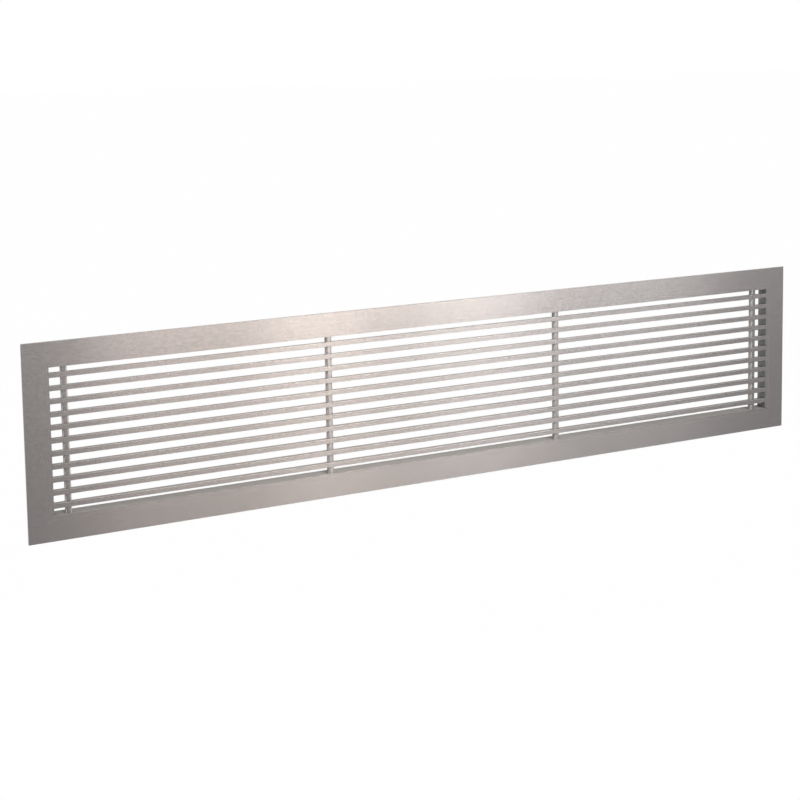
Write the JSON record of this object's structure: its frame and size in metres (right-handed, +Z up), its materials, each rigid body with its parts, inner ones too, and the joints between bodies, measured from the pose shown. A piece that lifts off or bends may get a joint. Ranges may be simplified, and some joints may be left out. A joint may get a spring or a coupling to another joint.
{
  "type": "wall air grille",
  "caption": "Long wall air grille with a flat flanged face plate round a mitred bar core, and fixed horizontal blades carried on upright tubes.",
  "frame": {"origin": "centre of the face plate's back, on the plane of the finished wall", "axes": "+X along the grille to the right as seen from the room, +Y into the wall, +Z up"},
  "size_m": [0.872, 0.0146, 0.191],
  "materials": {
    "face_plate": "fine lengthwise brushed, satin",
    "long_bar": "fine lengthwise brushed, satin",
    "end_bar": "satin",
    "blade": "fine lengthwise brushed, satin",
    "support_tube": "satin",
    "leaf_spring": "smooth rolled spring strip",
    "drive_pin": "plain"
  },
  "bodies": {
    "root": {"face_plate": "face_plate", "core_top_bar": "long_bar", "core_bottom_bar": "long_bar", "core_left_bar": "end_bar", "core_right_bar": "end_bar", "blade_01": "blade", "blade_02": "blade", "blade_03": "blade", "blade_04": "blade", "blade_05": "blade", "blade_06": "blade", "blade_07": "blade", "blade_08": "blade", "blade_09": "blade", "blade_10": "blade", "blade_11": "blade", "support_tube_1": "support_tube", "support_tube_2": "support_tube", "support_tube_3": "support_tube", "support_tube_4": "support_tube", "leaf_spring_top_left": "leaf_spring", "leaf_spring_top_right": "leaf_spring", "leaf_spring_bottom_left": "leaf_spring", "leaf_spring_bottom_right": "leaf_spring", "drive_pins": "drive_pin"}
  },
  "joints": []
}
